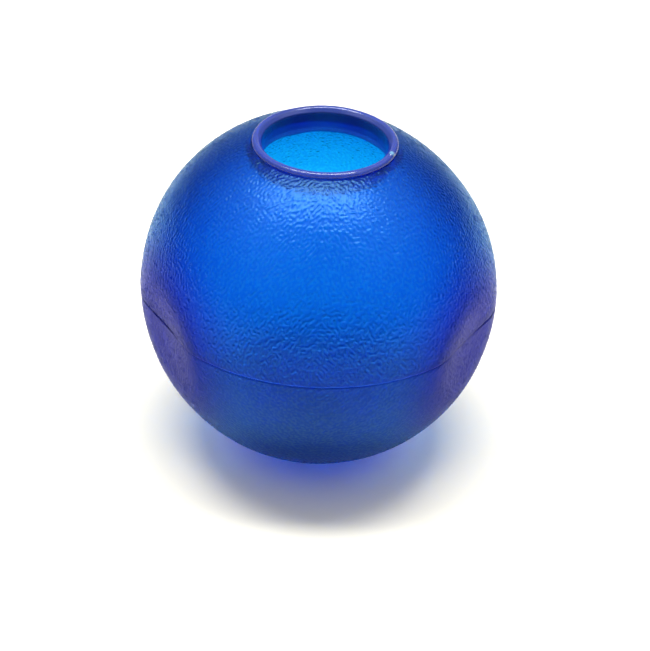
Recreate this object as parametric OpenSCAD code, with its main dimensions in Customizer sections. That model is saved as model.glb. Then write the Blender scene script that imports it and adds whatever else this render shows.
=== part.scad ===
// Treat dispensing ball: a hollow, soft, see-through ball with one round mouth
// in a raised lip. It is moulded as two half shells, joined at the equator by a
// tongue and groove with a bonding bead, and a collar is pushed into the mouth.
// Three shallow dishes are pressed into its sides, below the equator's height.
//
// Millimetres. +Z points up out of the mouth, and the ball stands on z = 0 on
// its flat foot, with the origin in the middle of that foot. The dishes lie at
// 60 degrees to the left and right of -Y, and at +Y.

/* [Ball] */
// Outside diameter of the ball
ball_d = 110; // [100:1:127]
// Thickness of the shell's wall
wall = 3.5; // [3.2:0.1:4.5]
// Diameter of the flat foot that the ball stands on
foot_d = 18; // [16:1:22]
// Diameter of the gate recess in the middle of the foot
gate_d = 6; // [4:0.5:8]
// Depth of the gate recess
gate_depth = 0.5; // [0.3:0.1:0.8]

/* [Mouth] */
// Diameter of the hole that the treats go through
mouth_d = 38; // [32:0.5:42]
// Width of the lip, seen from above
lip_w = 2.9; // [2.7:0.1:3.6]
// Height of the lip's crest above the ball's own surface
lip_rise = 1.35; // [1:0.05:2]
// How far the lip's inner edge lies below its crest
lip_drop = 0.9; // [0.6:0.1:1.2]
// Length of the throat, from the lip's inner edge to the collar's lower end
throat_len = 7.5; // [7:0.1:12]

/* [Dishes in the sides] */
// Number of dishes round the ball
dish_count = 3; // [1:1:3]
// Depth of a dish at its middle, below the ball's own surface
dish_depth = 3; // [2:0.1:3.4]
// Radius that a dish is hollowed to
dish_r = 150; // [120:5:250]
// Latitude of a dish's middle, in degrees above the seam
dish_lat = -5; // [-10:1:0]

/* [Seam] */
// Width of the tongue on the lower half's rim
tongue_w = 1.1; // [0.9:0.1:1.3]
// Height of that tongue
tongue_h = 1.2; // [0.8:0.1:1.6]
// Gap left for the bond on each side of the tongue
bond_gap = 0.12; // [0.08:0.02:0.16]
// Width of the bead in the seam, and of the slot that it lies in
bead_w = 0.6; // [0.4:0.1:0.8]
// Depth of that slot
bead_depth = 0.6; // [0.4:0.1:0.7]

/* [Hidden] */
$fn = 96;

ball_r = ball_d / 2;
foot_r = foot_d / 2;
// Height of the ball's centre, which is also the seam's height
centre_z = sqrt(ball_r * ball_r - foot_r * foot_r);

mouth_r = mouth_d / 2;
lip_r = mouth_r + lip_w;
// The collar's neck goes through the shell, and its flange and barb hold it
neck_r = lip_r - 1.05;
hole_r = neck_r + 0.05;
barb_r = neck_r + 1.15;
ball_at_lip = centre_z + sqrt(ball_r * ball_r - lip_r * lip_r);
crest_z = ball_at_lip + lip_rise;
inner_edge_z = crest_z - lip_drop;
collar_end_z = inner_edge_z - throat_len;
// The flange sits on a flat seat, and the barb catches under a flat land
seat_z = ball_at_lip - 0.85;
land_z = centre_z + sqrt((ball_r - wall) * (ball_r - wall) - barb_r * barb_r) - 0.05;

// The radii of the lip's two rounded edges
crest_round = 0.95;
edge_round = 0.6;

tongue_in = (wall - tongue_w) / 2;
blue = [0.05, 0.34, 0.82];
lip_blue = [0.16, 0.24, 0.62];
seam_blue = [0.06, 0.18, 0.55];

// The ball as a solid, with its skin moved in by t, dishes included
module ball_solid(t) {
    difference() {
        translate([0, 0, centre_z]) sphere(r = ball_r - t);
        for (i = [0 : dish_count - 1])
            translate([0, 0, centre_z])
                rotate([0, 0, 90 + i * 120])
                    rotate([0, -dish_lat, 0])
                        translate([ball_r - dish_depth + dish_r, 0, 0])
                            sphere(r = dish_r + t);
    }
}

// The layer of wall between two depths, from height z0 to height z1
module wall_ring(t_out, t_in, z0, z1) {
    difference() {
        intersection() {
            ball_solid(t_out);
            translate([-ball_d, -ball_d, z0]) cube([2 * ball_d, 2 * ball_d, z1 - z0]);
        }
        ball_solid(t_in);
    }
}

module bead_slot() {
    wall_ring(-1, bead_depth, centre_z - bead_w / 2, centre_z + bead_w / 2);
}

// Upper half: the mouth's seat at the top, and the groove in its rim
module upper_shell() {
    color(blue)
    difference() {
        union() {
            wall_ring(0, wall, centre_z, centre_z + ball_d);
            // A flat land round the hole, which the collar's barb catches under
            translate([0, 0, land_z]) cylinder(r = barb_r + 0.5, h = 1.6);
        }
        translate([0, 0, land_z - 5]) cylinder(r = hole_r, h = 20);
        translate([0, 0, seat_z]) cylinder(r = lip_r + 0.05, h = 20);
        wall_ring(tongue_in - bond_gap, tongue_in + tongue_w + bond_gap,
                  centre_z - 1, centre_z + tongue_h + 2 * bond_gap);
        bead_slot();
    }
}

// Lower half: the tongue on its rim, and the foot with its gate recess
module lower_shell() {
    color(blue)
    difference() {
        union() {
            wall_ring(0, wall, 0, centre_z);
            wall_ring(tongue_in, tongue_in + tongue_w, centre_z - 0.5, centre_z + tongue_h);
        }
        translate([0, 0, -1]) cylinder(d = gate_d, h = 1 + gate_depth);
        bead_slot();
    }
}

// The bonding bead, a little below the skin in its slot
module seam_bead() {
    color(seam_blue)
    wall_ring(0.15, bead_depth, centre_z - bead_w / 2, centre_z + bead_w / 2);
}

// Collar: the lip that is seen, the neck through the shell, the barb that
// snaps behind it, and the throat that keeps the treats from falling straight out
module mouth_collar() {
    color(lip_blue)
    union() {
        rotate_extrude()
        difference() {
            union() {
                // flange and lip, with a land that slopes in to the hole
                polygon([
                    [mouth_r, seat_z],
                    [lip_r, seat_z],
                    [lip_r, crest_z - crest_round],
                    [lip_r - crest_round, crest_z],
                    [mouth_r + edge_round, inner_edge_z],
                    [mouth_r, inner_edge_z - edge_round]
                ]);
                translate([lip_r - crest_round, crest_z - crest_round]) circle(r = crest_round);
                translate([mouth_r + edge_round, inner_edge_z - edge_round]) circle(r = edge_round);
                // neck and throat
                translate([mouth_r, collar_end_z + 0.8])
                    square([neck_r - mouth_r, seat_z - collar_end_z]);
                translate([mouth_r + 0.8, collar_end_z])
                    square([neck_r - mouth_r - 1.6, 1]);
                translate([mouth_r + 0.8, collar_end_z + 0.8]) circle(r = 0.8);
                translate([neck_r - 0.8, collar_end_z + 0.8]) circle(r = 0.8);
                // barb
                polygon([
                    [neck_r - 0.5, land_z],
                    [barb_r - 0.2, land_z],
                    [barb_r, land_z - 0.2],
                    [barb_r, land_z - 0.5],
                    [neck_r, land_z - 1.7],
                    [neck_r - 0.5, land_z - 1.7]
                ]);
            }
            // nothing reaches into the hole
            translate([mouth_r - 5, collar_end_z - 5]) square([5, 40]);
        }
        // the round gate mark on the lip
        rotate([0, 0, -20])
            translate([lip_r - crest_round - 0.1, 0, crest_z - 0.45])
                sphere(r = 0.75);
    }
}

upper_shell();
lower_shell();
seam_bead();
mouth_collar();
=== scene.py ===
import math

import bpy
import numpy as np
from mathutils import Matrix, Vector, noise


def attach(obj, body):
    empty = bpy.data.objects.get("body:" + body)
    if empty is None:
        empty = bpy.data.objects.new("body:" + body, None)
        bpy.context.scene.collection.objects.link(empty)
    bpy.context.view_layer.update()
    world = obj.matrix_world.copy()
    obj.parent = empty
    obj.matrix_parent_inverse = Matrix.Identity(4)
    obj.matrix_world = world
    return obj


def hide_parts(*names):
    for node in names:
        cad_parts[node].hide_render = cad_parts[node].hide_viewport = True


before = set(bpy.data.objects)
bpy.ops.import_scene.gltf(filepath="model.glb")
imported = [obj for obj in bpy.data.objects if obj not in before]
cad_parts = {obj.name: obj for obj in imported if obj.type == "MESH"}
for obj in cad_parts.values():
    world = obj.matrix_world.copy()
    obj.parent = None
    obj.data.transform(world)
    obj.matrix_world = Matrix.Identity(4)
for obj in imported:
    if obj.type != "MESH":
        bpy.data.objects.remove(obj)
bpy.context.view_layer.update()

# ---------------------------------------------------------------- sizes, mm
BALL_R = 55.0
WALL = 3.5
FOOT_R = 9.0
GATE_R = 3.0
GATE_DEPTH = 0.5
CENTRE_Z = math.sqrt(BALL_R**2 - FOOT_R**2)

MOUTH_R = 19.0
LIP_R = 21.9
BALL_AT_LIP = math.sqrt(BALL_R**2 - LIP_R**2)  # from the ball's centre
CREST = BALL_AT_LIP + 1.35
INNER_EDGE = CREST - 0.9
COLLAR_END = INNER_EDGE - 7.5
SEAT = BALL_AT_LIP - 0.85
NECK_R = LIP_R - 1.05
HOLE_R = NECK_R + 0.05
BARB_R = NECK_R + 1.15
LAND = math.sqrt((BALL_R - WALL) ** 2 - BARB_R**2) - 0.05

DISH_DEPTH = 3.0
DISH_R = 150.0
DISH_LAT = -5.0
DISH_AZ = (-60.0, 60.0, 180.0)

STEP_OUT = 0.463  # between points on the pebbled skin
STEP_IN = 1.8
GRAIN = 1.12  # wavelength of the pebbles
GRAIN_H = 0.050  # root mean square height

rng = np.random.default_rng(7)


def direction(az, lat):
    """Unit vectors. az is degrees from -Y towards +X, lat is degrees above the seam."""
    a, e = np.radians(az), np.radians(lat)
    return np.stack(
        [np.cos(e) * np.sin(a), -np.cos(e) * np.cos(a), np.sin(e) * np.ones_like(a)], -1
    )


DISHES = [direction(np.float64(a), np.float64(DISH_LAT)) for a in DISH_AZ]


def soft_min(a, b, k):
    h = np.clip(0.5 + 0.5 * (b - a) / k, 0, 1)
    return b + (a - b) * h - k * h * (1 - h)


# A soft ball is never quite round: (azimuth, latitude, width in degrees, mm)
UNROUND = [
    (-106, 42, 26, 0.55),
    (112, 46, 22, -0.75),
    (-56, -27, 20, -0.45),
    (20, -35, 30, 0.2),
    (0, 20, 30, 0.15),
]


def skin(u, depth):
    """Distance from the ball's centre of the wall's layer at that depth, along unit vectors u."""
    base = np.full(len(u), BALL_R - depth)
    far = BALL_R - DISH_DEPTH + DISH_R
    out = base.copy()
    for c in DISHES:
        cos = u @ c
        inside = (DISH_R + depth) ** 2 - far**2 * (1 - cos**2)
        ok = (inside > 0) & (cos > 0)
        r = np.where(ok, far * cos - np.sqrt(np.maximum(inside, 0)), 1e3)
        out = soft_min(out, r, 2.2)
    for az, lat, width, mm in UNROUND:
        cos = np.clip(u @ direction(np.float64(az), np.float64(lat)), -1, 1)
        out += mm * np.exp(-0.5 * (np.degrees(np.arccos(cos)) / width) ** 2)
    return out


def smooth(x, a, b):
    t = np.clip((x - a) / (b - a), 0, 1)
    return t * t * (3 - 2 * t)


# ---------------------------------------------------------------- pebbles
# The moulded grain is a sum of waves of about one length that run every way.
WAVES = 90
_k = rng.normal(size=(WAVES, 3))
_k *= (2 * math.pi / GRAIN * rng.normal(1.0, 0.09, WAVES) / np.linalg.norm(_k, axis=1))[:, None]
_phase = rng.uniform(0, 2 * math.pi, WAVES)
_k, _phase = _k.astype(np.float32), _phase.astype(np.float32)


def grain(u):
    """Height in mm of the pebbled skin along unit vectors u."""
    p = (u * BALL_R).astype(np.float32)
    h = np.zeros(len(u), np.float32)
    for k, f in zip(_k, _phase):
        h += np.cos(p @ k + f)
    h *= math.sqrt(2.0 / WAVES)
    # separate round beads on a flatter ground, without spikes
    h = 1.6 * np.tanh(h / 1.6)
    return GRAIN_H * (h + 0.30 * (h * h - 0.7))


# ---------------------------------------------------------------- rings to meshes
def zipper(a0, na, b0, nb):
    """Triangles between two rings whose points start at a0 and b0."""
    if na == 1 or nb == 1:
        if na == 1:
            j = np.arange(nb)
            return np.stack([np.full(nb, a0), b0 + (j + 1) % nb, b0 + j], 1)
        i = np.arange(na)
        return np.stack([a0 + i, a0 + (i + 1) % na, np.full(na, b0)], 1)
    t = np.concatenate([(np.arange(na) + 0.5) / na, (np.arange(nb) + 0.5) / nb + 1e-9])
    kind = np.concatenate([np.zeros(na, int), np.ones(nb, int)])
    order = np.argsort(t, kind="stable")
    kind = kind[order]
    i = np.cumsum(kind == 0) - (kind == 0)
    j = np.cumsum(kind == 1) - (kind == 1)
    first = np.stack([a0 + i % na, a0 + (i + 1) % na, b0 + j % nb], 1)
    second = np.stack([a0 + i % na, b0 + (j + 1) % nb, b0 + j % nb], 1)
    return np.where((kind == 0)[:, None], first, second)


def mesh_from_rings(name, rings, closed, attrs=None, sharp=35, contact=None, normals=None):
    """A mesh through rings of points in mm from the ball's centre. closed joins the last ring to the first.
    contact has the rings whose faces up to the next ring lie against another piece. normals has, for
    each ring, its points' normals, or None to take them from the mesh."""
    start = np.concatenate([[0], np.cumsum([len(r) for r in rings])])
    pairs = [(k, k + 1) for k in range(len(rings) - 1)] + (
        [(len(rings) - 1, 0)] if closed else []
    )
    parts = [zipper(start[a], len(rings[a]), start[b], len(rings[b])) for a, b in pairs]
    touching = np.concatenate(
        [np.full(len(f), 1.0 if contact and a in contact else 0.0) for f, (a, _) in zip(parts, pairs)]
    )
    faces = np.concatenate(parts)
    v = np.concatenate(rings)
    v = (v + np.array([0, 0, CENTRE_Z])) / 1000.0
    p, q, r = v[faces[:, 0]], v[faces[:, 1]], v[faces[:, 2]]
    if np.einsum("ij,ij->i", p, np.cross(q, r)).sum() < 0:
        faces = faces[:, ::-1]
    me = bpy.data.meshes.new(name)
    me.vertices.add(len(v))
    me.vertices.foreach_set("co", v.astype(np.float32).ravel())
    me.loops.add(faces.size)
    me.loops.foreach_set("vertex_index", faces.astype(np.int32).ravel())
    me.polygons.add(len(faces))
    me.polygons.foreach_set("loop_start", np.arange(0, faces.size, 3, dtype=np.int32))
    me.update(calc_edges=True)
    me.validate()
    me.polygons.foreach_set("use_smooth", np.ones(len(faces), bool))
    me.set_sharp_from_angle(angle=math.radians(sharp))
    if contact:
        me.attributes.new("contact", "FLOAT", "FACE").data.foreach_set("value", touching.astype(np.float32))
    for key, values in (attrs or {}).items():
        layer = me.attributes.new(key, "FLOAT", "POINT")
        layer.data.foreach_set("value", np.concatenate(values).astype(np.float32))
    if normals is not None:
        given = np.concatenate(
            [np.zeros_like(r) if m is None else m for r, m in zip(rings, normals)]
        )[faces]
        corners = np.empty(faces.size * 3, np.float32)
        me.corner_normals.foreach_get("vector", corners)
        corners = corners.reshape(-1, 3, 3)
        known = (np.linalg.norm(given, axis=2) > 0.5).all(1) & (touching == 0)
        corners[known] = given[known]
        me.normals_split_custom_set(corners.reshape(-1, 3).tolist())
    me.update()
    ob = bpy.data.objects.new(name, me)
    bpy.context.scene.collection.objects.link(ob)
    return ob


def count(radius, step):
    return max(24, int(round(2 * math.pi * radius / step)))


# ---------------------------------------------------------------- the seam
def seam_strength(az):
    """How open the seam's slot is round the ball: 1 is a wide dark crease, 0 is closed."""
    a = (az + 180) % 360 - 180
    s = 0.17 + 0.0 * a
    s = s + 0.90 * smooth(-a, 52, 62) * (1 - smooth(-a, 100, 120))
    s = s + 0.55 * smooth(a, 64, 72) * (1 - smooth(a, 95, 120))
    s = s * (1 - 0.9 * smooth(-a, 38, 41) * (1 - smooth(-a, 49, 55)))
    s = s * (1 - 0.9 * smooth(a, 44, 48) * (1 - smooth(a, 60, 66)))
    s = s * (1 - 0.85 * smooth(np.abs(a), 163, 170))
    wave = 0.5 + 0.5 * np.sin(np.radians(a * 7 + 40)) * np.sin(np.radians(a * 3.3 + 10))
    return np.clip(s * (0.65 + 0.5 * wave), 0.02, 1)


def slot_half(az):
    """Half width in mm of the narrow slot that the bead fills."""
    return 0.03 + 0.10 * seam_strength(az)


def slot_depth(az):
    return groove(az) + 0.15 + 0.25 * seam_strength(az)


def groove(az):
    """Depth in mm of the soft crease that the two moulds' rounded edges leave."""
    return 0.035 + 0.42 * seam_strength(az)


def groove_width(az):
    return 0.13 + 0.42 * seam_strength(az)


def step_out(az):
    """The upper half stands a little proud of the lower one at the left and right."""
    a = (az + 180) % 360 - 180
    return 0.28 * smooth(-a, 58, 74) * (1 - smooth(-a, 100, 130)) + 0.1 * smooth(
        a, 66, 80
    ) * (1 - smooth(a, 100, 130))


LIP_LAT = math.degrees(math.acos((LIP_R + 0.02) / BALL_R))
FOOT_LAT = math.degrees(math.acos(FOOT_R / BALL_R))


def outer(u, side):
    """Distance of the pebbled skin from the ball's centre along unit vectors u."""
    lat = np.degrees(np.arcsin(np.clip(side * u[:, 2], -1, 1)))
    az = np.degrees(np.arctan2(u[:, 0], -u[:, 1]))
    away = BALL_R * np.radians(lat)
    to_end = BALL_R * np.radians((LIP_LAT if side > 0 else FOOT_LAT) - lat)
    rho = skin(u, 0.0)
    if side > 0:
        rho = rho + step_out(az) * np.exp(-np.maximum(away, 0) / 2.5)
    if side > 0:
        rho = rho - 0.20 * np.exp(-((np.maximum(to_end, 0) / 0.35) ** 2))
    fade = smooth(away, 0.1, 0.7) * smooth(to_end, 0.0, 1.0 if side > 0 else 5.0)
    roll = groove(az) * np.exp(-((np.maximum(away, 0) / groove_width(az)) ** 2))
    bumps = grain(u) * fade
    # the last value, the pebble's height from 0 to 1, sets the painted shade in the valleys
    return rho + bumps - roll, fade, smooth(bumps / GRAIN_H, -1.2, 1.6)


def outer_normals(u, side):
    east = np.stack([-u[:, 1], u[:, 0], 0 * u[:, 0]], 1)
    east /= np.linalg.norm(east, axis=1)[:, None]
    north = np.cross(u, east)
    e = 0.06 / BALL_R
    rho, fade, top = outer(u, side)
    slope = []
    for t in (east, north):
        v = [u + s * e * t for s in (1, -1)]
        v = [x / np.linalg.norm(x, axis=1)[:, None] for x in v]
        slope.append((outer(v[0], side)[0] - outer(v[1], side)[0]) / (2 * e * rho))
    n = u - slope[0][:, None] * east - slope[1][:, None] * north
    return rho, top, n / np.linalg.norm(n, axis=1)[:, None]


def front_dish_shade_mask(points):
    """1 in the middle of a front dish, falling to 0 well outside its rim, for points in mm from the
    ball's centre. It masks painted shade that darkens the front dishes' colour and reflection; the back one has
    none."""
    u = points / np.linalg.norm(points, axis=1)[:, None]
    cos = np.max([u @ c for c in DISHES[:2]], axis=0)
    return 1 - smooth(np.degrees(np.arccos(np.clip(cos, -1, 1))), 8.0, 40.0)


def underside_shade_mask(points):
    """1 on the ball's underside and 0 above: the mask of painted shade that darkens the underside in red and green
    and so deepens the floor's shadow beneath.
    """
    lat = np.degrees(np.arcsin(np.clip(points[:, 2] / np.linalg.norm(points, axis=1), -1, 1)))
    return smooth(-lat, 46.0, 64.0)


def shell(side):
    """side is 1 for the upper half and -1 for the lower one."""
    rings, rough, normals, tops, contact = [], [], [], [], set()

    def add(points, rgh=0.0, normal=None, top=None):
        rings.append(points)
        rough.append(np.full(len(points), rgh))
        normals.append(normal)
        tops.append(np.full(len(points), 0.5) if top is None else top)

    def polar(n, lat, depth, out=0.0):
        az = np.arange(n) * 360.0 / n
        la = lat(az) if callable(lat) else np.full(n, lat)
        de = depth(az) if callable(depth) else np.full(n, depth)
        u = direction(az, la)
        rho = skin(u, 0.0) - de + (out(az) if callable(out) else out)
        return u * rho[:, None]

    def lathe(n, r, z):
        az = np.arange(n) * 360.0 / n
        u = direction(az, np.zeros(n))
        return u * r + np.array([0, 0, z])

    n_out = count(BALL_R, STEP_OUT)
    n_in = count(BALL_R - WALL, STEP_IN)
    lift = (lambda az: step_out(az)) if side > 0 else 0.0
    deg = lambda mm: np.degrees(mm / BALL_R)

    # the mating face, from the inside out
    contact.update((0, 1, 2, 3))
    gap = side * deg(0.004)
    add(polar(n_in, gap, WALL))
    add(polar(n_in * 2 if n_in * 2 < n_out else n_in, gap, WALL * 0.55))
    add(polar(n_out, gap, lambda az: slot_depth(az) + 0.02))
    # the slot
    add(polar(n_out, lambda az: side * deg(slot_half(az) * 0.8), slot_depth))
    add(polar(n_out, lambda az: side * deg(slot_half(az)), lambda az: groove(az) + 0.03, lift), 0.5)

    # the pebbled skin
    end = LIP_LAT if side > 0 else FOOT_LAT
    az = np.arange(n_out) * 360.0 / n_out
    for t in (0.0, 0.25, 0.55):
        u = direction(az, side * deg(slot_half(az) + t * groove_width(az) * 1.2))
        rho, top, n = outer_normals(u, side)
        add(u * rho[:, None], 1.0, n, top)
    first = np.degrees(0.62 / BALL_R)
    lats = np.linspace(first, end, max(8, int((end - first) / 57.3 * BALL_R / STEP_OUT)))
    us = []
    for lat in lats:
        n = count(BALL_R * math.cos(math.radians(lat)), STEP_OUT)
        us.append(direction(np.arange(n) * 360.0 / n, np.full(n, side * lat)))
    rho, top, norm = outer_normals(np.concatenate(us), side)
    at = 0
    for u in us:
        i = slice(at, at + len(u))
        at += len(u)
        r = rho[i]
        if side < 0:
            flat = CENTRE_Z / np.maximum(-u[:, 2], 1e-3)
            r = np.minimum(r, flat)
        add(u * r[:, None], 1.0, norm[i], top[i])

    if side > 0:
        n = count(LIP_R, STEP_OUT)
        contact.add(len(rings) - 1)
        add(lathe(n, LIP_R + 0.02, SEAT), 1.0)
        n = count(HOLE_R, STEP_IN * 0.6)
        contact.update(range(len(rings) - 1, len(rings) + 3))
        add(lathe(n, HOLE_R, SEAT))
        add(lathe(n, HOLE_R, (SEAT + LAND) / 2))
        add(lathe(n, HOLE_R, LAND))
        r_end = math.sqrt((BALL_R - WALL) ** 2 - LAND**2)
        add(lathe(n, r_end, LAND))
        high = math.degrees(math.acos((r_end + 0.4) / (BALL_R - WALL)))
        for lat in np.linspace(high, 0, int(high / 57.3 * BALL_R / STEP_IN))[:-1]:
            n = count((BALL_R - WALL) * math.cos(math.radians(lat)), STEP_IN)
            add(polar(n, lat, WALL))
        return mesh_from_rings("upper_half", rings, True, {"skin": rough, "tops": tops, "dish": [front_dish_shade_mask(r) for r in rings], "under": [underside_shade_mask(r) for r in rings]}, contact=contact, normals=normals)

    # foot, gate recess and the inside
    n = count(FOOT_R, STEP_OUT)
    add(lathe(n, FOOT_R - 1.2, -CENTRE_Z), 1.0)
    n = count(GATE_R, STEP_OUT)
    add(lathe(n, GATE_R + 0.15, -CENTRE_Z), 1.0)
    add(lathe(n, GATE_R, -CENTRE_Z + 0.12), 1.0)
    add(lathe(n, GATE_R - 0.05, -CENTRE_Z + GATE_DEPTH), 1.0)
    add(lathe(n, GATE_R * 0.5, -CENTRE_Z + GATE_DEPTH), 1.0)
    add(np.array([[0, 0, -CENTRE_Z + GATE_DEPTH]]), 1.0)
    lat_list = np.linspace(0, 88, int(88 / 57.3 * BALL_R / STEP_IN))[1:]
    inner = []
    for lat in lat_list:
        n = count((BALL_R - WALL) * math.cos(math.radians(lat)), STEP_IN)
        inner.append(polar(n, -lat, WALL))
    inner.append(np.array([[0, 0, -float(skin(direction(np.zeros(1), np.full(1, -90.0)), WALL)[0])]]))
    shift = len(inner)
    rings[:0] = inner[::-1]
    rough[:0] = [np.zeros(len(r)) for r in inner[::-1]]
    normals[:0] = [None] * shift
    tops[:0] = [np.full(len(r), 0.5) for r in inner]
    contact = {k + shift for k in contact}
    return mesh_from_rings("lower_half", rings, False, {"skin": rough, "tops": tops, "dish": [front_dish_shade_mask(r) for r in rings], "under": [underside_shade_mask(r) for r in rings]}, contact=contact, normals=normals)


upper = shell(1)
lower = shell(-1)


# ---------------------------------------------------------------- seam bead
def seam_bead():
    n = count(BALL_R, STEP_OUT)
    az = np.arange(n) * 360.0 / n
    half = slot_half(az) - 0.01
    deep = slot_depth(az) - 0.01
    top = groove(az) + 0.035
    rings = []
    for w, d in ((-0.8, deep), (-1, top), (-0.55, top + 0.01), (0, top + 0.015), (0.55, top + 0.01), (1, top), (0.8, deep)):
        u = direction(az, np.degrees(w * half / BALL_R))
        rings.append(u * (skin(u, 0.0) - d)[:, None])
    return mesh_from_rings("bond_bead", rings, True, {"skin": [np.ones(n)] * 7}, contact={0, 5, 6})


bead = seam_bead()


# ---------------------------------------------------------------- collar
def arc(cx, cz, r, a0, a1, n):
    t = np.radians(np.linspace(a0, a1, n))
    return [(cx + r * math.cos(x), cz + r * math.sin(x)) for x in t]


def collar():
    n = 420
    rc, re = 1.2, 0.6
    cx, cz = LIP_R - rc, CREST - rc
    ex, ez = MOUTH_R + re, INNER_EDGE - re
    # the sloping land touches both rounds
    dx, dz = cx - ex, cz - ez
    dist = math.hypot(dx, dz)
    base = math.degrees(math.atan2(dz, dx))
    tilt = math.degrees(math.asin((rc - re) / dist))
    normal = base + 90 + tilt
    prof = []
    prof += [(LIP_R, SEAT + 0.02), (LIP_R, BALL_AT_LIP + 0.02), (LIP_R, (BALL_AT_LIP + cz) / 2)]
    prof += arc(cx, cz, rc, 0, normal, 12)
    a, b = prof[-1], (ex + re * math.cos(math.radians(normal)), ez + re * math.sin(math.radians(normal)))
    prof += [(a[0] + (b[0] - a[0]) * t, a[1] + (b[1] - a[1]) * t) for t in (0.25, 0.5, 0.75)]
    prof += arc(ex, ez, re, normal, 180, 10)
    top, low = ez, COLLAR_END + 0.8
    prof += [(MOUTH_R, top + (low - top) * t) for t in (0.12, 0.25, 0.37, 0.5, 0.62, 0.75, 0.88)]
    prof += arc(MOUTH_R + 0.8, low, 0.8, 180, 270, 6)
    prof += arc(NECK_R - 0.8, low, 0.8, 270, 360, 6)
    prof += [(NECK_R, LAND - 1.75), (BARB_R, LAND - 0.55), (BARB_R, LAND - 0.25), (BARB_R - 0.2, LAND - 0.04), (NECK_R, LAND - 0.04), (NECK_R, (LAND + SEAT) / 2), (NECK_R, SEAT + 0.02)]
    az = np.arange(n) * 360.0 / n
    u = direction(az, np.zeros(n))
    # the lower end is uneven, as moulded edges with a little flash are
    wob = np.array([noise.noise(Vector((math.cos(math.radians(x)) * 3, math.sin(math.radians(x)) * 3, 1.7))) for x in az])
    fine = np.array([noise.noise(Vector((math.cos(math.radians(x)) * 11, math.sin(math.radians(x)) * 11, 4.2))) for x in az])
    rim = np.array([noise.noise(Vector((math.cos(math.radians(x)) * 19, math.sin(math.radians(x)) * 19, 2.6))) for x in az])
    flash = 0.35 * wob + 0.45 * np.clip(fine - 0.25, 0, 1)
    lipw = np.array([noise.noise(Vector((math.cos(math.radians(x)) * 1.6, math.sin(math.radians(x)) * 1.6, 9.1))) for x in az])
    rings = []
    dot = direction(np.float64(69.5), np.float64(0))
    for r, z in prof:
        low_w = smooth(np.float64(-z), -(COLLAR_END + 2.2), -COLLAR_END)
        hi_w = smooth(np.float64(z), SEAT + 0.4, CREST - 0.6)
        edge = hi_w * smooth(np.float64(r), LIP_R - 1.5, LIP_R - 0.5) * 0.05 * rim
        p = u * (r + 0.10 * lipw * hi_w)[:, None] + np.stack([0 * az, 0 * az, z - flash * low_w + 0.12 * lipw * hi_w + edge], 1)
        rings.append(p)
    # the gate mark
    mark = dot * (LIP_R - 0.75) + np.array([0, 0, CREST - 0.1])
    pale = []
    for k, p in enumerate(rings):
        if prof[k][1] > SEAT + 0.6:
            d = np.linalg.norm(p - mark, axis=1)
            bump = 0.45 * np.sqrt(np.clip(1 - (d / 1.15) ** 2, 0, 1)) - 0.3 * np.exp(-((d / 0.4) ** 2))
            out = np.array([0, 0, 1.0])
            rings[k] = p + bump[:, None] * out
            pale.append(np.clip(1.6 - d / 0.75, 0, 1))
        else:
            pale.append(np.zeros(n))
    last = len(rings)
    neck = prof.index((NECK_R, LAND - 1.75))
    milky = [
        np.full(n, 0.0 if k >= neck - 8 else 0.6 + 0.4 * float(smooth(np.float64(z), COLLAR_END + 0.3, COLLAR_END + 2.5)))
        for k, (r, z) in enumerate(prof)
    ]
    deep = [np.full(n, 1 - float(smooth(np.float64(z), INNER_EDGE - 1.4, INNER_EDGE - 0.4))) for r, z in prof]
    return mesh_from_rings(
        "mouth_lip_and_throat", rings, True, {"skin": milky, "dyed": deep, "pale": pale}, 40, {0, last - 4, last - 3, last - 2, last - 1}
    )


lip = collar()


# ---------------------------------------------------------------- materials
def nodes_of(name):
    m = bpy.data.materials.new(name)
    m.use_nodes = True
    nt = m.node_tree
    nt.nodes.clear()
    return m, nt, nt.nodes, nt.links


IOR = 1.46


def link_mix(nt, kind, factor, low, high, socket):
    """Drives a socket from low to high by a factor socket."""
    mix = nt.nodes.new("ShaderNodeMix")
    mix.data_type = kind
    lo, hi, res = (2, 3, 0) if kind == "FLOAT" else (6, 7, 2)
    for i, v in ((lo, low), (hi, high)):
        if isinstance(v, bpy.types.NodeSocket):
            nt.links.new(v, mix.inputs[i])
        else:
            mix.inputs[i].default_value = v if kind == "FLOAT" else (*v, 1)
    nt.links.new(factor, mix.inputs[0])
    if socket is not None:
        nt.links.new(mix.outputs[res], socket)
    return mix.outputs[res]


def fractal(nt, scale, detail=3.0, rough=0.5):
    tc = nt.nodes.new("ShaderNodeTexCoord")
    n = nt.nodes.new("ShaderNodeTexNoise")
    n.inputs["Scale"].default_value = scale
    n.inputs["Detail"].default_value = detail
    n.inputs["Roughness"].default_value = rough
    nt.links.new(tc.outputs["Object"], n.inputs["Vector"])
    return n.outputs["Fac"]


def around(nt, value, centre, swing):
    """centre + (value - 0.5) * swing, where centre may be a socket."""
    m = nt.nodes.new("ShaderNodeMath")
    m.operation = "SUBTRACT"
    nt.links.new(value, m.inputs[0])
    m.inputs[1].default_value = 0.5
    k = nt.nodes.new("ShaderNodeMath")
    k.operation = "MULTIPLY_ADD"
    nt.links.new(m.outputs[0], k.inputs[0])
    k.inputs[1].default_value = swing
    if isinstance(centre, bpy.types.NodeSocket):
        nt.links.new(centre, k.inputs[2])
    else:
        k.inputs[2].default_value = centre
    return k.outputs[0]


def absorb(nt, out, per_metre):
    v = nt.nodes.new("ShaderNodeVolumeAbsorption")
    top = max(per_metre)
    v.inputs["Density"].default_value = top
    v.inputs["Color"].default_value = (*(1 - x / top for x in per_metre), 1)
    nt.links.new(v.outputs["Volume"], out.inputs["Volume"])


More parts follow.
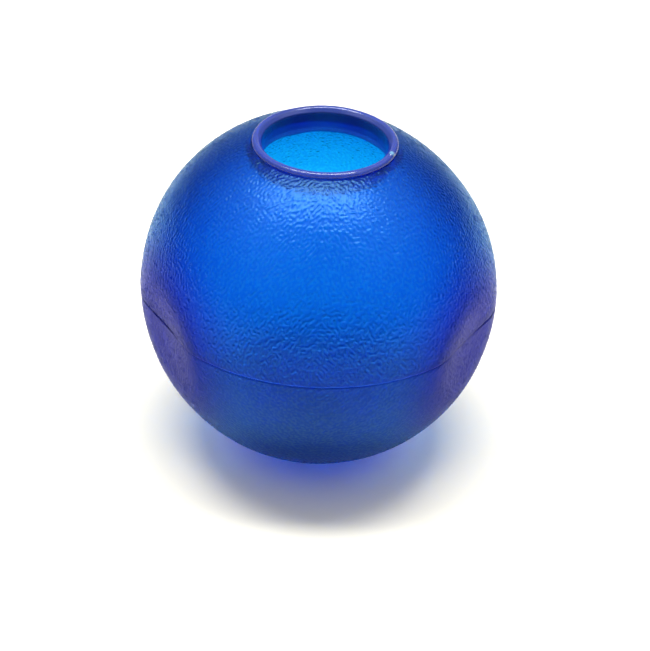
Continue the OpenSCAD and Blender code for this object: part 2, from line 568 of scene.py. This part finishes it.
def plastic(name, look):
    """Translucent blue plastic. A point on the skin scatters part of the light and the inside is plain;
    faces bonded to another piece let light straight on."""
    m, nt, nodes, links = nodes_of(name)
    out = nodes.new("ShaderNodeOutputMaterial")
    p = nodes.new("ShaderNodeBsdfPrincipled")
    links.new(p.outputs["BSDF"], out.inputs["Surface"])
    skin_attr = nodes.new("ShaderNodeAttribute")
    skin_attr.attribute_name = "skin"
    on_skin = skin_attr.outputs["Fac"]
    bonded = nodes.new("ShaderNodeAttribute")
    bonded.attribute_name = "contact"
    bonded = bonded.outputs["Fac"]
    p.inputs["IOR"].default_value = look["ior"]
    link_mix(nt, "FLOAT", bonded, look["ior"], 1.0, p.inputs["IOR"])
    p.inputs["Specular Tint"].default_value = (*look["tint"], 1)
    cloud = fractal(nt, look["cloud"], 2.0)
    skin_colour = link_mix(nt, "RGBA", cloud, look["dark"], look["light"], None)
    if "pebble_top" in look:
        # painted shade: the valleys between the pebbles are darker than their tops
        tops = nodes.new("ShaderNodeAttribute")
        tops.attribute_name = "tops"
        skin_colour = link_mix(nt, "RGBA", tops.outputs["Fac"], look["valley_shade"], look["pebble_top"], None)
        skin_colour = link_mix(nt, "RGBA", around(nt, cloud, 0.25, 0.5), skin_colour, look["light"], None)
    if "dish_shade" in look:
        # painted shade: the front dishes darker
        dish = nodes.new("ShaderNodeAttribute")
        dish.attribute_name = "dish"
        skin_colour = link_mix(nt, "RGBA", dish.outputs["Fac"], skin_colour, look["dish_shade"], None)
        # painted shade: the underside darker in red and green, which also deepens the floor's shadow beneath
        under = nodes.new("ShaderNodeAttribute")
        under.attribute_name = "under"
        skin_colour = link_mix(nt, "RGBA", under.outputs["Fac"], skin_colour, look["underside_shade"], None)
    colour = link_mix(nt, "RGBA", on_skin, look["inside"], skin_colour, None)
    all_clear = look["clear_in"] == look["clear_out"] == 1.0
    clear = None if all_clear else link_mix(nt, "FLOAT", on_skin, look["clear_in"], look["clear_out"], None)
    if "pale" in look:
        spot = nodes.new("ShaderNodeAttribute")
        spot.attribute_name = "pale"
        colour = link_mix(nt, "RGBA", spot.outputs["Fac"], colour, look["pale"], None)
        clear = link_mix(nt, "FLOAT", spot.outputs["Fac"], clear, 0.3, None)
    link_mix(nt, "RGBA", bonded, colour, (1, 1, 1), p.inputs["Base Color"])
    p.inputs["Transmission Weight"].default_value = 1.0
    if not all_clear:
        link_mix(nt, "FLOAT", bonded, clear, 1.0, p.inputs["Transmission Weight"])
    rough = link_mix(nt, "FLOAT", on_skin, look["rough_in"], look["rough_out"], None)
    rough = around(nt, fractal(nt, look["fine"], 3.0), rough, look["swing"])
    link_mix(nt, "FLOAT", bonded, rough, 0.0, p.inputs["Roughness"])
    # a tint on what the plastic mirrors, which only serves the look
    p.inputs["Coat Weight"].default_value = look["dye"]
    if "pale" in look:
        # only the collar's throat
        dyed = nodes.new("ShaderNodeAttribute")
        dyed.attribute_name = "dyed"
        link_mix(nt, "FLOAT", dyed.outputs["Fac"], 0.0, look["dye"], p.inputs["Coat Weight"])
    p.inputs["Coat IOR"].default_value = 1.04
    p.inputs["Coat Roughness"].default_value = 0.1
    p.inputs["Coat Tint"].default_value = (*look["dye_tint"], 1)
    if "dish_shade" in look:
        # painted shade: a darker, bluer coat tint in the front dishes dims what they mirror and pass
        link_mix(nt, "RGBA", dish.outputs["Fac"], look["dye_tint"], look["dish_shade_tint"], p.inputs["Coat Tint"])
    absorb(nt, out, look["absorb"])
    return m


# Painted shade in these colours: the pebbles' darker valleys, the front dishes' colour and coat tint, and the
# underside's colour.
SHELL = dict(
    ior=IOR, tint=(0.5, 0.7, 1.0), cloud=55.0, dark=(0.55, 0.80, 0.95), light=(0.7, 0.85, 0.95),
    valley_shade=(0.3, 0.42, 0.86), pebble_top=(1.0, 1.0, 1.0), dish_shade=(0.30, 0.30, 0.56), underside_shade=(0.12, 0.14, 1.0), dish_shade_tint=(0.0, 0.1, 0.85),
    inside=(0.6, 0.84, 0.88), clear_in=1.0, clear_out=1.0, rough_in=0.26, rough_out=0.285,
    fine=900.0, swing=0.02, absorb=(900.0, 176.0, 50.0), dye=0.75, dye_tint=(0.2, 0.8, 1.0),
)
COLLAR = dict(
    ior=IOR, tint=(1.0, 1.0, 1.0), cloud=70.0, dark=(0.04, 0.08, 0.46), light=(0.06, 0.115, 0.53),
    inside=(0.8, 0.9, 1.0), pale=(0.18, 0.42, 0.6), clear_in=1.0, clear_out=0.6, rough_in=0.15, rough_out=0.16,
    fine=500.0, swing=0.10, absorb=(900.0, 150.0, 36.0), dye=0.75, dye_tint=(0.2, 0.8, 1.0),
)
BOND = {**{k: v for k, v in SHELL.items() if k not in ("pebble_top", "dish_shade", "underside_shade")}, "tint": (0.12, 0.5, 1.0), "rough_out": 0.2, "absorb": (900.0, 400.0, 90.0)}
shell_mat = plastic("pebbled_blue_plastic", SHELL)
collar_mat = plastic("smooth_blue_plastic", COLLAR)


bond_mat = plastic("bonding_bead", BOND)
for ob, mat, node, slot_name in (
    (upper, shell_mat, "upper_shell", "shell_plastic"),
    (lower, shell_mat, "lower_shell", "shell_plastic"),
    (bead, bond_mat, "seam_bead", "bond"),
    (lip, collar_mat, "mouth_collar", "collar_plastic"),
):
    ob.data.materials.append(mat)
    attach(ob, "root")
    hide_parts(node)


# ---------------------------------------------------------------- stage
def plane(name, size, z):
    me = bpy.data.meshes.new(name)
    s = size / 2
    me.from_pydata([(-s, -s, z), (s, -s, z), (s, s, z), (-s, s, z)], [], [(0, 1, 2, 3)])
    ob = bpy.data.objects.new(name, me)
    bpy.context.scene.collection.objects.link(ob)
    return ob


floor = plane("floor", 6.0, 0.0)
fm, fnt, fnodes, flinks = nodes_of("pale_floor")
fo = fnodes.new("ShaderNodeOutputMaterial")
fp = fnodes.new("ShaderNodeBsdfPrincipled")
fp.inputs["Base Color"].default_value = (0.95, 0.925, 0.80, 1)
fp.inputs["Roughness"].default_value = 0.75
fp.inputs["Specular IOR Level"].default_value = 0.2
flinks.new(fp.outputs["BSDF"], fo.inputs["Surface"])
floor.data.materials.append(fm)

# ---------------------------------------------------------------- light
scene = bpy.context.scene
world = bpy.data.worlds.new("studio")
scene.world = world
world.use_nodes = True
wn, wl = world.node_tree.nodes, world.node_tree.links
wn.clear()
wo = wn.new("ShaderNodeOutputWorld")
bg = wn.new("ShaderNodeBackground")
tc = wn.new("ShaderNodeTexCoord")
sep = wn.new("ShaderNodeSeparateXYZ")
wl.new(tc.outputs["Generated"], sep.inputs[0])


def bands(values):
    """A grey ramp over height: values are (sine of the elevation, strength / SKY_TOP)."""
    r = wn.new("ShaderNodeValToRGB")
    r.color_ramp.interpolation = "EASE"
    e = r.color_ramp.elements
    while len(e) < len(values):
        e.new(0.5)
    for k, (at, v) in enumerate(values):
        e[k].position = at
        e[k].color = (v / SKY_TOP, v / SKY_TOP, v / SKY_TOP, 1)
    wl.new(sep.outputs["Z"], r.inputs["Fac"])
    return r.outputs["Color"]


SKY_TOP = 4.0
SKY_BACK = ((0.0, 1.2), (0.16, 1.0), (0.32, 0.7), (0.52, 0.7), (0.66, 0.7), (0.84, 0.5), (0.92, 0.4), (1.0, 0.4))
SKY_FRONT = ((0.0, 0.3), (0.16, 0.28), (0.32, 0.3), (0.52, 0.3), (0.66, 0.35), (0.84, 0.4), (0.92, 0.4), (1.0, 0.4))
SKY_SIDE = ((0.0, 0.25), (0.16, 0.25), (0.32, 0.4), (0.52, 0.62), (0.66, 1.8), (0.84, 2.0), (0.92, 0.9), (1.0, 0.5))
behind = wn.new("ShaderNodeMapRange")
behind.interpolation_type = "SMOOTHSTEP"
behind.inputs["From Min"].default_value = -0.35
behind.inputs["From Max"].default_value = 0.35
wl.new(sep.outputs["Y"], behind.inputs["Value"])
sky = wn.new("ShaderNodeMix")
sky.data_type = "RGBA"
wl.new(behind.outputs["Result"], sky.inputs[0])
wl.new(bands(SKY_FRONT), sky.inputs[6])
wl.new(bands(SKY_BACK), sky.inputs[7])
aside = wn.new("ShaderNodeMath")
aside.operation = "ABSOLUTE"
wl.new(sep.outputs["X"], aside.inputs[0])
at_side = wn.new("ShaderNodeMapRange")
at_side.interpolation_type = "SMOOTHSTEP"
at_side.inputs["From Min"].default_value = 0.25
at_side.inputs["From Max"].default_value = 0.6
wl.new(aside.outputs[0], at_side.inputs["Value"])
whole = wn.new("ShaderNodeMix")
whole.data_type = "RGBA"
wl.new(at_side.outputs["Result"], whole.inputs[0])
wl.new(sky.outputs[2], whole.inputs[6])
wl.new(bands(SKY_SIDE), whole.inputs[7])
grow = wn.new("ShaderNodeMath")
grow.operation = "MULTIPLY"
wl.new(whole.outputs[2], grow.inputs[0])
grow.inputs[1].default_value = SKY_TOP * 0.75
lp = wn.new("ShaderNodeLightPath")
mix = wn.new("ShaderNodeMix")
mix.data_type = "FLOAT"
wl.new(lp.outputs["Is Camera Ray"], mix.inputs["Factor"])
wl.new(grow.outputs[0], mix.inputs["A"])
mix.inputs["B"].default_value = 1.0
wl.new(mix.outputs["Result"], bg.inputs["Strength"])
bg.inputs["Color"].default_value = (1, 1, 1, 1)
wl.new(bg.outputs["Background"], wo.inputs["Surface"])


def area(name, loc, target, size, power, size_y=None, spread=180):
    li = bpy.data.lights.new(name, "AREA")
    li.shape = "RECTANGLE" if size_y else "SQUARE"
    li.size = size
    if size_y:
        li.size_y = size_y
    li.energy = power
    li.spread = math.radians(spread)
    ob = bpy.data.objects.new(name, li)
    ob.location = loc
    ob.rotation_mode = "QUATERNION"
    ob.rotation_quaternion = (Vector(target) - Vector(loc)).to_track_quat("-Z", "Y")
    scene.collection.objects.link(ob)
    return ob


area("overhead_softbox", (-0.04, 0.0, 0.95), (-0.04, 0.0, 0.0), 0.88, 14.7, 0.3)

# ---------------------------------------------------------------- camera
ELEV, ROLL = 0.5673446, 0.0425676
FOCAL_PX, IMAGE_W, IMAGE_H = 2127.6, 650, 651
centre = Vector((0, 0, CENTRE_Z / 1000))
dist = 12 * BALL_R / 1000
back = Vector((0, -math.cos(ELEV), math.sin(ELEV)))
right0 = Vector((1, 0, 0))
up0 = Vector((0, math.sin(ELEV), math.cos(ELEV)))
# the picture's own right and up, with the camera rolled
right = math.cos(ROLL) * right0 + math.sin(ROLL) * up0
up = -math.sin(ROLL) * right0 + math.cos(ROLL) * up0
# aimed so that the ball's centre falls where the photograph has it
off_x, off_y = 319.03 - IMAGE_W / 2, IMAGE_H / 2 - 285.51
cam_data = bpy.data.cameras.new("camera")
cam_data.sensor_width = 36.0
cam_data.lens = 36.0 * FOCAL_PX / max(IMAGE_W, IMAGE_H)
cam_data.clip_start, cam_data.clip_end = 0.05, 20
cam = bpy.data.objects.new("camera", cam_data)
scene.collection.objects.link(cam)
cam.location = centre + back * dist
rot = Matrix((right, up, back)).transposed()
cam.rotation_mode = "QUATERNION"
aim = Vector((off_x / FOCAL_PX, off_y / FOCAL_PX, -1)).normalized()
turn = aim.rotation_difference(Vector((0, 0, -1)))
cam.rotation_quaternion = rot.to_quaternion() @ turn
scene.camera = cam

scene.view_settings.view_transform = "Standard"
scene.view_settings.look = "None"
scene.cycles.max_bounces = 24
scene.cycles.transmission_bounces = 20
scene.cycles.glossy_bounces = 8
scene.cycles.diffuse_bounces = 4
scene.cycles.sample_clamp_indirect = 6.0
scene.cycles.blur_glossy = 0.6
